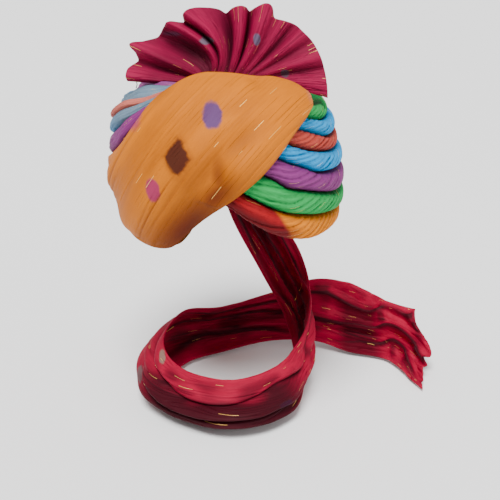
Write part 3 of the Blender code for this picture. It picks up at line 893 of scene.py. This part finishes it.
def sashForm(point):
    x, up = frontPlane(point)
    front = smooth(*sash["frontRange"], point.y)
    depth = 0.0
    # tint is the painted shade of the nearest patch
    tint = 0.0
    for sideways, upward, slant, reachAlong, reachAcross, deep, shade in sashForms:
        turn = math.radians(slant)
        along = ((x - sideways) * math.cos(turn) + (up - upward) * math.sin(turn)) / reachAlong
        across = ((x - sideways) * math.sin(turn) - (up - upward) * math.cos(turn)) / reachAcross
        near = math.exp(-(along * along) - across * across) * front
        depth += deep * near
        tint = max(tint, shade * near)
    return depth, tint


def sashPlace(along, round_):
    steps = sash["faceSteps"] + sash["backSteps"]
    part = sash["faceSteps"] / steps
    station = along * sashSections[-1][0]
    section = readTable(sashSections, station)
    lowAngle, lowHeight, highAngle, highHeight, lowShare, midShare, highShare = section
    onFace = round_ <= part
    across = round_ / part if onFace else 1 - (round_ - part) / (1 - part)
    across = min(max(across, 0.0), 1.0)
    angle = lowAngle + (highAngle - lowAngle) * across
    height = (lowHeight + (highHeight - lowHeight) * across) * headForm["crown"]
    back = bedOffset(angle, height) + layers["sashGap"]
    # the back side takes painted shade all over
    if not onFace:
        point = headPoint(angle, height, back)
        return point, sash["innerShade"], creasePlane(point)
    full = layers["wrapWall"] + layers["seatGap"] + rolls["thickness"] + sash["thickness"]
    belly = 1 - abs(2 * across - 1) ** sash["bellyEdge"]
    share = lowShare + (highShare - lowShare) * across
    share += (midShare - (lowShare + highShare) / 2) * belly
    rounding = smooth(0.0, sash["hem"], across) * smooth(1.0, 1 - sash["hem"], across)
    point = headPoint(angle, height, share * full)
    run, side = creasePlane(point)
    depth, tint = sashForm(point)
    # folds and creases run slantwise over the front, strongest toward the lower left
    strongest = smooth(*sash["foldStations"], station) * smooth(*sash["foldTop"], across)
    mask = sash["leastFolds"] + (1 - sash["leastFolds"]) * strongest
    swell = swellPattern(sash["swells"], side, run)
    crease = creasePattern(sash["creases"], side, run)
    crease += sash["fineShare"] * creasePattern(sash["fineCreases"], side, run)
    relief = (sash["swellDepth"] * swell - sash["creaseDepth"] * crease) * mask - depth
    face = share * full + relief * rounding
    least = back + sash["wall"] * (sash["hemWall"] + (1 - sash["hemWall"]) * rounding)
    blend = sash["blend"] * rounding
    face = (face + least + math.sqrt((face - least) ** 2 + blend * blend)) / 2
    # painted shade in creases and valleys, from the patches and along the lower hem
    valley = sash["valleyShade"] * smooth(*sash["valleyRange"], swell)
    fold = rounding * mask * max(sash["creaseShade"] * min(1.0, crease), valley)
    fold = max(fold, tint, sash["hemShade"] * smooth(*sash["hemRange"], across))
    return headPoint(angle, height, face), fold, (run, side)


sashSpots = (
    # the tie-dye marks, each placed on the front of the sash
    {"centre": (-0.0105, -0.110, 0.112), "size": (0.0090, 0.030, 0.0110), "colour": (0.052, 0.030, 0.14)},
    {"centre": (-0.0572, -0.107, 0.0528), "size": (0.0068, 0.030, 0.0115), "colour": (0.27, 0.012, 0.085)},
    {
        "centre": (-0.075, -0.07, 0.103),
        "size": (0.01, 0.03, 0.013),
        "colour": (0.32, 0.03, 0.09),
        "soft": 0.5,
    },
    {
        "centre": (0.07, -0.05, 0.12),
        "size": (0.01, 0.03, 0.016),
        "colour": (0.42, 0.12, 0.10),
        "soft": 0.8,
    },
    {
        "centre": (-0.0366, -0.115, 0.0806),
        "size": (0.0175, 0.040, 0.0240),
        "colour": (0.17, 0.038, 0.006),
        "soft": 0.6,
        "strength": 0.6,
        "corners": 0.6,
    },
    {
        "centre": (-0.0366, -0.115, 0.0806),
        "size": (0.0125, 0.040, 0.0180),
        "colour": (0.030, 0.006, 0.006),
        "soft": 0.3,
        "corners": 0.8,
    },
)


def makeSash():
    bm = clothGrid(sash["alongSteps"], sash["faceSteps"] + sash["backSteps"], sashPlace)
    closeTube(bm)
    material = clothMaterial("saffronCloth", orange, spots=sashSpots, **sash["look"])
    piece = addPiece("saffronSash", bm, material, "front_sash")
    print("sash folded over the front")


# The fan

fan = {
    "radius": 0.0786,
    "baseWidth": 0.052,
    "setback": 0.026,
    "shift": 0.003,
    "sink": 0.009,
    "lean": 8,
    "wall": 0.0011,
    "length": 0.075,
    "breadth": 0.52,
    "aroundSteps": 460,
    "outSteps": 56,
    "valleyDepth": 1.35,
    "footPleats": 0.12,
    "pleatRange": (0.1, 0.8),
    "creaseDepth": 0.0008,
    "creases": (60, 1.5, 1.7, 6.0),
    "creaseRange": (0.05, 0.3),
    # painted shade: how dark the fan gets in its valleys and creases, at its foot and toward its left end
    "valleyRange": (0.07, -0.07),
    "rimPart": 0.6,
    "rimRange": (1.0, 0.6),
    "creaseShade": 0.5,
    "footShade": 0.6,
    "footRange": (0.32, 0.15),
    "leftShade": 0.55,
    "leftAngles": (138, 150),
    "leftRange": (0.98, 0.70),
}

fanSections = (
    # angle, rim distance, rim forward, waist across, waist height, all but the angle shares of the radius
    (-5, 1.020, 0.02, 0.70, 0.02),
    (4, 1.005, 0.05, 0.66, 0.10),
    (12, 1.000, -0.03, 0.62, 0.16),
    (20, 0.995, 0.04, 0.56, 0.22),
    (30, 0.980, -0.02, 0.50, 0.26),
    (38, 0.960, 0.04, 0.44, 0.28),
    (44, 0.940, -0.04, 0.38, 0.28),
    (52, 0.900, 0.03, 0.34, 0.30),
    (59, 0.865, 0.00, 0.31, 0.32),
    (64, 0.955, 0.06, 0.29, 0.34),
    (68, 0.965, 0.10, 0.27, 0.36),
    (73, 0.885, 0.04, 0.23, 0.36),
    (76.5, 0.810, -0.09, 0.20, 0.36),
    (80, 0.860, 0.04, 0.17, 0.38),
    (84, 0.875, 0.10, 0.15, 0.40),
    (89, 0.840, 0.04, 0.12, 0.42),
    (94.5, 0.770, -0.10, 0.11, 0.44),
    (100, 0.825, -0.06, 0.10, 0.46),
    (107, 0.875, -0.01, 0.10, 0.48),
    (116, 0.930, 0.03, 0.10, 0.48),
    (122, 0.935, 0.09, 0.09, 0.46),
    (126.5, 0.845, -0.06, 0.05, 0.42),
    (133, 0.965, 0.09, 0.01, 0.42),
    (138, 0.955, -0.02, -0.04, 0.38),
    (147, 0.945, -0.10, -0.12, 0.30),
    (152, 1.050, 0.00, -0.28, 0.24),
    (155.5, 1.165, 0.09, -0.38, 0.20),
    (159, 1.075, 0.03, -0.42, 0.17),
    (164, 1.030, -0.04, -0.46, 0.13),
    (168.5, 1.110, 0.03, -0.50, 0.10),
    (172, 1.120, 0.09, -0.52, 0.07),
    (175, 1.100, 0.04, -0.54, 0.05),
)


def fanPlace(along, out):
    seat = layers["wrapWall"] + layers["seatGap"]
    angle = fanSections[0][0] + (fanSections[-1][0] - fanSections[0][0]) * along
    reach, forward, waistX, waistHeight = readTable(fanSections, angle)
    side = 1 - 2 * along
    baseX = fan["baseWidth"] / 2 * side
    base = Vector((baseX, -fan["setback"], crownHeightAt(baseX, -fan["setback"], seat)))
    centreZ = crownHeightAt(0, -fan["setback"], seat) - fan["sink"]
    spread = math.radians(angle)
    lean = math.radians(fan["lean"])
    radius = reach * fan["radius"]
    tipRise = radius * math.sin(spread)
    tip = Vector((fan["shift"] + radius * math.cos(spread), 0, centreZ + tipRise * math.cos(lean)))
    tip.y = tipRise * math.sin(lean) - fan["setback"]
    waist = Vector((waistX * fan["radius"], base.y, centreZ + waistHeight * fan["radius"]))
    waist.y += waistHeight * fan["radius"] * math.sin(lean)
    point = base * (1 - out) ** 2 + waist * 2 * out * (1 - out) + tip * out**2
    depth = forward if forward > 0 else fan["valleyDepth"] * forward
    pleated = fan["footPleats"] + (1 - fan["footPleats"]) * smooth(*fan["pleatRange"], out)
    crease = creasePattern(fan["creases"], along, out) * smooth(*fan["creaseRange"], out)
    point.y -= depth * fan["radius"] * pleated - fan["creaseDepth"] * crease
    # painted shade in the valleys and creases, at the foot and toward the left end
    valley = smooth(*fan["valleyRange"], forward)
    valley *= fan["rimPart"] + (1 - fan["rimPart"]) * smooth(*fan["rimRange"], out)
    foot = fan["footShade"] * smooth(*fan["footRange"], out)
    leftEnd = smooth(*fan["leftAngles"], angle) * smooth(*fan["leftRange"], out)
    fold = max(valley + fan["creaseShade"] * crease, foot, fan["leftShade"] * leftEnd)
    return point, min(1.0, fold), (out * fan["length"], along * fan["breadth"])


fanSpots = (
    # the faded marks along the rim
    {"centre": (-0.0173, -0.020, 0.1556), "size": (0.0075, 0.02, 0.0035), "colour": (0.11, 0.10, 0.13)},
    {"centre": (0.0239, -0.022, 0.1569), "size": (0.0035, 0.02, 0.0065), "colour": (0.10, 0.09, 0.15)},
    {"centre": (0.0471, -0.027, 0.1290), "size": (0.0045, 0.02, 0.0040), "colour": (0.06, 0.06, 0.08)},
    {
        "centre": (-0.047, -0.02, 0.16),
        "size": (0.012, 0.02, 0.0035),
        "colour": (0.15, 0.06, 0.13),
        "soft": 0.8,
    },
)


def makeFan():
    bm = clothGrid(fan["aroundSteps"], fan["outSteps"], fanPlace)
    bmesh.ops.recalc_face_normals(bm, faces=bm.faces)
    material = clothMaterial("magentaCloth", magenta, spots=fanSpots, glintAmount=0.35)
    piece = addPiece("crownFan", bm, material, "crown_fan")
    addWall(piece, fan["wall"], 0)
    print("fan pleated")


# The tail

tail = {
    "halfWidth": 0.090,
    "halfDepth": 0.097,
    "setback": 0.010,
    "rootWidth": 0.026,
    "drop": 0.181,
    "reach": 0.195,
    "wall": 0.0012,
    "endReach": 0.018,
    "endRange": (0.86, 1.0),
    "length": 0.86,
    "breadth": 0.11,
    "alongSteps": 420,
    "acrossSteps": 84,
    "headingSteps": 8,
    "bellyEdge": 0.6,
    "bellyLow": 1.6,
    "hem": 0.16,
    # the lengthwise folds, and the crumples, fine folds and creases over them
    "folds": 3,
    "foldDepth": 0.0056,
    "foldEdge": 0.7,
    "foldMiddle": 1.2,
    "foldTurn": 0.12,
    "drift": 1.1,
    "driftSwells": (0.55, 1.3, 0.4),
    "crumpleDepth": 0.0034,
    "crumpleAcross": (4, 0.9),
    "crumpleAlong": (-2, 1.5),
    "crumpleSeed": 3.3,
    "fineDepth": 0.0032,
    "fineCount": 13,
    "fineDrift": 2,
    "fineLength": 0.55,
    "fineSeed": 8.8,
    "creaseDepth": 0.0010,
    "creases": (15, 0.6, 4.4, 6.0),
    # painted shade: how dark the tail gets in its valleys, crumples and creases, and at its root
    "valleyRange": (0.75, 0.10),
    "crumpleShade": 0.7,
    "crumpleRange": (0.05, -0.45),
    "creaseShade": 0.4,
    "rootShade": 0.6,
    "rootRange": (1.4, 0.3),
    "unevenCrumple": 0.20,
    "unevenFine": 0.10,
}

# The shaded lower side of the loop and of the free end
tailUnder = (
    # amount, reach across, sections where it comes in, sections where it goes
    (1.00, (0.14, 0.38), (4.8, 6.2), (9.6, 8.0)),
    (0.75, (0.12, 0.36), (13.4, 14.0), (15.4, 14.7)),
)

loopSections = (
    # top angle, top reach, top height, low angle, low reach, low height, bow
    (66, 1.080, -0.180, 89, 1.050, -0.250, 0.03),
    (48, 1.080, -0.350, 71, 0.980, -0.520, 0.06),
    (30, 0.980, -0.510, 47, 0.850, -0.720, 0.08),
    (8, 0.830, -0.620, 20, 0.730, -0.880, 0.10),
    (-20, 0.720, -0.690, -12, 0.650, -0.940, 0.13),
    (-52, 0.690, -0.740, -48, 0.650, -0.975, 0.25),
    (-90, 0.700, -0.760, -90, 0.690, -0.985, 0.32),
    (-135, 0.700, -0.750, -135, 0.670, -0.985, 0.27),
    (-180, 0.710, -0.720, -180, 0.680, -0.985, 0.28),
    (-225, 0.750, -0.680, -225, 0.710, -0.985, 0.32),
    (-262, 0.780, -0.710, -262, 0.770, -0.985, 0.30),
)

freeSections = (
    # top x, top y, top height, low x, low y, low height, bow
    (0.23, 1.16, -0.680, 0.20, 1.06, -0.965, 0.24),
    (0.44, 1.24, -0.620, 0.44, 1.02, -0.955, 0.14),
    (0.62, 1.24, -0.640, 0.62, 0.86, -0.985, 0.07),
    (0.74, 1.18, -0.690, 0.78, 0.74, -0.990, 0.04),
    (0.84, 1.09, -0.730, 0.85, 0.56, -0.990, 0.02),
    (0.94, 1.00, -0.745, 0.90, 0.26, -0.992, 0.02),
    (0.97, 0.98, -0.750, 0.94, 0.06, -0.995, 0.02),
)

# How far the torn-looking free edge reaches, as shares of endReach from its top to its low corner
endEdge = (
    (0, 0.0),
    (0.18, -0.05),
    (0.36, 0.85),
    (0.50, 0.80),
    (0.56, 0.40),
    (0.64, 0.60),
    (0.70, 0.15),
    (1, 0.10),
)

tailSpots = (
    {"centre": (0.051, -0.067, -0.158), "size": (0.007, 0.02, 0.003), "colour": (0.11, 0.015, 0.20)},
    {"centre": (-0.086, -0.011, -0.157), "size": (0.004, 0.02, 0.006), "colour": (0.16, 0.11, 0.11)},
    {"centre": (-0.063, -0.012, -0.136), "size": (0.004, 0.02, 0.004), "colour": (0.20, 0.13, 0.10)},
)


def tailSections():
    rootBack = headPoint(90, 0, layers["wrapWall"] + layers["seatGap"] + rolls["thickness"] / 2).y
    rootHeight = edgesNear(180)[0] - layers["seatGap"]
    half = tail["rootWidth"] / 2
    sections = [(0, half, rootBack, rootHeight, -half, rootBack, rootHeight, 0.0)]
    for topAngle, topReach, topHeight, lowAngle, lowReach, lowHeight, bow in loopSections:
        ends = []
        for angle, reach, height in ((topAngle, topReach, topHeight), (lowAngle, lowReach, lowHeight)):
            a = math.radians(angle)
            x = tail["halfWidth"] * reach * math.cos(a)
            y = tail["setback"] + tail["halfDepth"] * reach * math.sin(a)
            ends += [x, y, height * tail["drop"]]
        sections.append((len(sections), *ends, bow * tail["halfWidth"]))
    for topX, topY, topHeight, lowX, lowY, lowHeight, bow in freeSections:
        top = (topX * tail["reach"], topY * tail["halfDepth"], topHeight * tail["drop"])
        low = (lowX * tail["reach"], lowY * tail["halfDepth"], lowHeight * tail["drop"])
        sections.append((len(sections), *top, *low, bow * tail["halfWidth"]))
    return sections


def tailRelief(across, at):
    # how far the folds stand out at a place, then how much painted shade darkens it
    drift = tail["drift"] * swellPattern(tail["driftSwells"], at, across)
    turn = math.pi * (tail["folds"] * across + drift) + tail["foldTurn"] * at
    ridge = abs(math.sin(turn)) ** tail["foldEdge"]
    crumpleAcross = across * tail["crumpleAcross"][0] + at * tail["crumpleAcross"][1]
    crumpleAlong = across * tail["crumpleAlong"][0] + at * tail["crumpleAlong"][1]
    crumple = noise.noise(Vector((crumpleAcross, crumpleAlong, tail["crumpleSeed"])))
    fineAcross = across * tail["fineCount"] + drift * tail["fineDrift"]
    fine = noise.noise(Vector((fineAcross, at * tail["fineLength"], tail["fineSeed"])))
    crease = creasePattern(tail["creases"], across, at)
    hem = tail["hem"]
    fade = smooth(0.0, hem, across) * smooth(1.0, 1 - hem, across)
    large = tail["foldDepth"] * (2 * ridge - tail["foldMiddle"])
    large *= math.sin(math.pi * across) ** tail["bellyEdge"]
    small = tail["crumpleDepth"] * crumple + tail["fineDepth"] * fine
    small -= tail["creaseDepth"] * crease
    uneven = across + tail["unevenCrumple"] * crumple + tail["unevenFine"] * fine
    # painted shade in the valleys and crumples, on the lower side and at the root
    fold = smooth(*tail["valleyRange"], ridge) * fade
    fold = max(fold, tail["crumpleShade"] * smooth(*tail["crumpleRange"], crumple) * fade)
    for amount, reach, entering, leaving in tailUnder:
        fold = max(fold, amount * smooth(*reach, uneven) * smooth(*entering, at) * smooth(*leaving, at))
    fold = max(fold, tail["rootShade"] * smooth(*tail["rootRange"], at))
    return large + small * fade, min(1.0, fold + tail["creaseShade"] * crease * fade)


def makeTail():
    sections = tailSections()
    last = len(sections) - 1
    halfSteps = 2 * tail["alongSteps"]
    rows = [readTable(sections, step / halfSteps * last) for step in range(halfSteps + 1)]

    def place(along, across):
        step = round(along * halfSteps)
        values = rows[step]
        ahead = rows[min(step + tail["headingSteps"], halfSteps)]
        behind = rows[max(step - tail["headingSteps"], 0)]
        top = Vector(values[0:3])
        low = Vector(values[3:6])
        run = Vector(ahead[0:3]) + Vector(ahead[3:6]) - Vector(behind[0:3]) - Vector(behind[3:6])
        out = run.cross(low - top).normalized()
        belly = math.sin(math.pi * across ** tail["bellyLow"]) ** tail["bellyEdge"]
        relief, fold = tailRelief(across, along * last)
        point = top + (low - top) * across + out * (values[6] * belly + relief)
        flare = smooth(*tail["endRange"], along)
        if flare:
            point += run.normalized() * readTable(endEdge, across)[0] * tail["endReach"] * flare
        return point, fold, (along * tail["length"], across * tail["breadth"])

    bm = clothGrid(tail["alongSteps"], tail["acrossSteps"], place)
    bmesh.ops.recalc_face_normals(bm, faces=bm.faces)
    material = clothMaterial("crimsonCloth", crimson, spots=tailSpots, glintAmount=0.3, foldTint=0.96)
    piece = addPiece("crimsonTail", bm, material, "tail_cloth")
    addWall(piece, tail["wall"], 0)
    print("tail wound")


# The two dark threads that hang loose under the left end of the fan

threads = {"thickness": 0.0004, "sides": 8, "overlap": 1.1, "colour": (0.03, 0.03, 0.04)}

threadPoints = (
    ((-0.0758, -0.0283, 0.1234), (-0.0751, -0.0296, 0.1206), (-0.0760, -0.0302, 0.1176)),
    ((-0.0590, -0.0280, 0.1224), (-0.0597, -0.0300, 0.1206), (-0.0591, -0.0312, 0.1190)),
)


def makeThreads():
    bm = bmesh.new()
    for points in threadPoints:
        for low, high in zip(points, points[1:]):
            run = Vector(high) - Vector(low)
            made = bmesh.ops.create_cone(
                bm,
                cap_ends=True,
                segments=threads["sides"],
                radius1=threads["thickness"],
                radius2=threads["thickness"],
                depth=run.length * threads["overlap"],
            )
            turn = run.to_track_quat("Z", "Y").to_matrix()
            bmesh.ops.rotate(bm, verts=made["verts"], cent=(0, 0, 0), matrix=turn)
            bmesh.ops.translate(bm, verts=made["verts"], vec=(Vector(low) + Vector(high)) / 2)
    material = bpy.data.materials.new("darkThread")
    material.use_nodes = True
    material.node_tree.nodes["Principled BSDF"].inputs["Base Color"].default_value = (*threads["colour"], 1)
    addPiece("looseThreads", bm, material, None)
    print("threads hung")


# Floor, light and camera

studio = {
    "floorSize": 6,
    "floorHeight": -0.1835,
    "floorGrey": 0.88,
    "floorRoughness": 0.9,
    "sky": 0.6,
    "keyDirection": (-0.10, -0.62, 1.0),
    "keySpread": 25,
    "keyStrength": 6.0,
    "fillPlace": (1.1, -0.9, 0.4),
    "fillSize": 0.8,
    "fillPower": 5,
}


def addLight(name, place, size, power):
    # a round lamp that shines at the origin
    light = bpy.data.lights.new(name, "AREA")
    light.shape = "DISK"
    light.size = size
    light.energy = power
    lamp = bpy.data.objects.new(name, light)
    lamp.location = place
    lamp.rotation_euler = Vector(place).to_track_quat("Z", "Y").to_euler()
    bpy.context.scene.collection.objects.link(lamp)


def addSkyLight(name, direction, spread, strength):
    # a wide, distant light, even over the whole floor
    light = bpy.data.lights.new(name, "SUN")
    light.angle = math.radians(spread)
    light.energy = strength
    lamp = bpy.data.objects.new(name, light)
    lamp.rotation_euler = Vector(direction).to_track_quat("Z", "Y").to_euler()
    bpy.context.scene.collection.objects.link(lamp)


def makeStudio():
    bm = bmesh.new()
    bmesh.ops.create_grid(bm, x_segments=1, y_segments=1, size=studio["floorSize"])
    bmesh.ops.translate(bm, verts=bm.verts, vec=(0, 0, studio["floorHeight"]))
    mesh = bpy.data.meshes.new("floor")
    bm.to_mesh(mesh)
    bm.free()
    paper = bpy.data.materials.new("paleFloor")
    paper.use_nodes = True
    shader = paper.node_tree.nodes["Principled BSDF"]
    shader.inputs["Base Color"].default_value = (*[studio["floorGrey"]] * 3, 1)
    shader.inputs["Roughness"].default_value = studio["floorRoughness"]
    mesh.materials.append(paper)
    floor = bpy.data.objects.new("floor", mesh)
    bpy.context.scene.collection.objects.link(floor)
    world = bpy.data.worlds.new("studio")
    world.use_nodes = True
    background = world.node_tree.nodes["Background"]
    background.inputs["Color"].default_value = (1, 1, 1, 1)
    background.inputs["Strength"].default_value = studio["sky"]
    bpy.context.scene.world = world
    addSkyLight("keyLight", studio["keyDirection"], studio["keySpread"], studio["keyStrength"])
    addLight("fillLight", studio["fillPlace"], studio["fillSize"], studio["fillPower"])
    print("floor and lights placed")


def makeCamera():
    target = Vector(view["target"])
    tilt = math.radians(view["elevation"])
    away = Vector((0, -math.cos(tilt), math.sin(tilt)))
    lens = bpy.data.cameras.new("photoCamera")
    lens.lens = view["lens"]
    lens.sensor_width = view["sensor"]
    camera = bpy.data.objects.new("photoCamera", lens)
    camera.location = target + away * view["distance"]
    camera.rotation_euler = away.to_track_quat("Z", "Y").to_euler()
    bpy.context.scene.collection.objects.link(camera)
    bpy.context.scene.camera = camera
    print("camera set")


makeInnerWrap()
makeRolls()
makeSash()
makeFan()
makeTail()
makeThreads()
makeStudio()
makeCamera()
